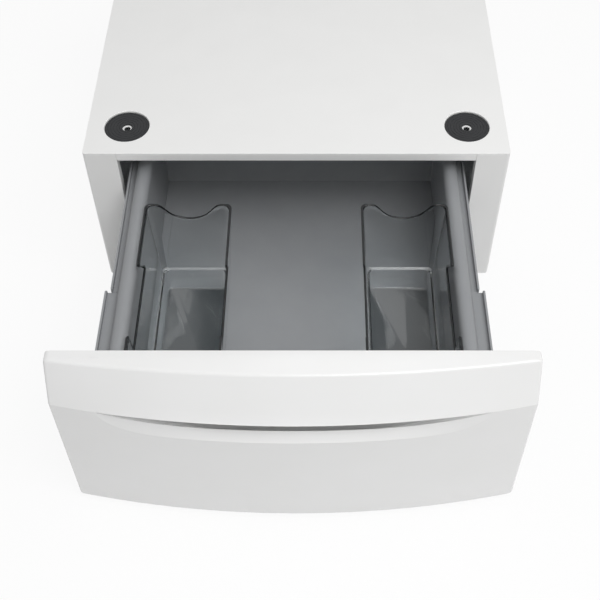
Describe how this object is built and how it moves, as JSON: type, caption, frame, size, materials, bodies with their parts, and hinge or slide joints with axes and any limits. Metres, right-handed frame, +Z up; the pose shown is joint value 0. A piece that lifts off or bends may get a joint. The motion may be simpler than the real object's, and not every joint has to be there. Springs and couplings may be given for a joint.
{
  "type": "washer base",
  "caption": "White pedestal for a laundry machine, with a pull-out drawer on roller runners, a bowed front with a finger pull, clear bins and levelling feet.",
  "frame": {"origin": "on the floor, at the centre of the four feet", "axes": "+X to the right seen from the front, +Y to the back, +Z up"},
  "size_m": [0.596, 0.9146, 0.3],
  "materials": {
    "white_enamelled_steel": "smooth satin enamel",
    "white_gloss_plastic": "moulded gloss",
    "grey_moulded_plastic": "fine moulded grain",
    "clear_moulded_plastic": "clear, polished mould",
    "zinc_plated_steel": "bright zinc",
    "white_nylon": "moulded",
    "black_rubber": "matt"
  },
  "bodies": {
    "cabinet": {"back_panel": "white_enamelled_steel", "top_plate": "white_enamelled_steel", "platform_pads": "black_rubber", "front_top_rail": "white_enamelled_steel", "front_floor_rail": "zinc_plated_steel", "rear_floor_rail": "zinc_plated_steel", "foot_nuts": "zinc_plated_steel", "back_panel_screws": "zinc_plated_steel", "left_side_panel": "white_enamelled_steel", "left_runner_carrier": "zinc_plated_steel", "left_cabinet_runner": "zinc_plated_steel", "left_front_roller_pin": "zinc_plated_steel", "left_runner_rivets": "zinc_plated_steel", "right_side_panel": "white_enamelled_steel", "right_runner_carrier": "zinc_plated_steel", "right_cabinet_runner": "zinc_plated_steel", "right_front_roller_pin": "zinc_plated_steel", "right_runner_rivets": "zinc_plated_steel"},
    "drawer": {"drawer_floor": "grey_moulded_plastic", "drawer_rear_wall": "grey_moulded_plastic", "drawer_front_wall": "grey_moulded_plastic", "front_panel": "white_gloss_plastic", "panel_liner": "white_gloss_plastic", "closing_bumpers": "black_rubber", "drawer_front_screws": "zinc_plated_steel", "left_drawer_side": "grey_moulded_plastic", "left_front_bracket": "grey_moulded_plastic", "left_bin": "clear_moulded_plastic", "left_drawer_runner": "zinc_plated_steel", "left_rear_roller_pin": "zinc_plated_steel", "left_drawer_rivets": "zinc_plated_steel", "right_drawer_side": "grey_moulded_plastic", "right_front_bracket": "grey_moulded_plastic", "right_bin": "clear_moulded_plastic", "right_drawer_runner": "zinc_plated_steel", "right_rear_roller_pin": "zinc_plated_steel", "right_drawer_rivets": "zinc_plated_steel"},
    "left_front_roller": {"left_front_roller": "white_nylon"},
    "front_left_foot": {"front_left_foot_stem": "zinc_plated_steel", "front_left_foot_pad": "black_rubber"},
    "left_rear_roller": {"left_rear_roller": "white_nylon"},
    "rear_left_foot": {"rear_left_foot_stem": "zinc_plated_steel", "rear_left_foot_pad": "black_rubber"},
    "right_front_roller": {"right_front_roller": "white_nylon"},
    "front_right_foot": {"front_right_foot_stem": "zinc_plated_steel", "front_right_foot_pad": "black_rubber"},
    "right_rear_roller": {"right_rear_roller": "white_nylon"},
    "rear_right_foot": {"rear_right_foot_stem": "zinc_plated_steel", "rear_right_foot_pad": "black_rubber"}
  },
  "joints": [
    {"name": "drawer_slide", "type": "slide", "parent": "cabinet", "child": "drawer", "axis": [0, -1, 0], "range_m": [-0.3265, 0]},
    {"name": "left_front_roller_turn", "type": "hinge", "parent": "cabinet", "child": "left_front_roller", "pos_m": [-0.2365, -0.231, 0.117], "axis": [1, 0, 0], "range_deg": [-1640, 10]},
    {"name": "left_rear_roller_turn", "type": "hinge", "parent": "drawer", "child": "left_rear_roller", "pos_m": [-0.2365, -0.124, 0.117], "axis": [1, 0, 0], "range_deg": [-1640, 10]},
    {"name": "right_front_roller_turn", "type": "hinge", "parent": "cabinet", "child": "right_front_roller", "pos_m": [0.2365, -0.231, 0.117], "axis": [1, 0, 0], "range_deg": [-1640, 10]},
    {"name": "right_rear_roller_turn", "type": "hinge", "parent": "drawer", "child": "right_rear_roller", "pos_m": [0.2365, -0.124, 0.117], "axis": [1, 0, 0], "range_deg": [-1640, 10]},
    {"name": "front_left_foot_screw", "type": "slide", "parent": "cabinet", "child": "front_left_foot", "axis": [0, 0, -1], "range_m": [0, 0.012]},
    {"name": "front_right_foot_screw", "type": "slide", "parent": "cabinet", "child": "front_right_foot", "axis": [0, 0, -1], "range_m": [0, 0.012]},
    {"name": "rear_left_foot_screw", "type": "slide", "parent": "cabinet", "child": "rear_left_foot", "axis": [0, 0, -1], "range_m": [0, 0.012]},
    {"name": "rear_right_foot_screw", "type": "slide", "parent": "cabinet", "child": "rear_right_foot", "axis": [0, 0, -1], "range_m": [0, 0.012]}
  ],
  "couplings": [
    {"joint": "left_front_roller_turn", "follows": "drawer_slide", "rad_per_m": 86.957},
    {"joint": "left_rear_roller_turn", "follows": "drawer_slide", "rad_per_m": 86.957},
    {"joint": "right_front_roller_turn", "follows": "drawer_slide", "rad_per_m": 86.957},
    {"joint": "right_rear_roller_turn", "follows": "drawer_slide", "rad_per_m": 86.957}
  ]
}
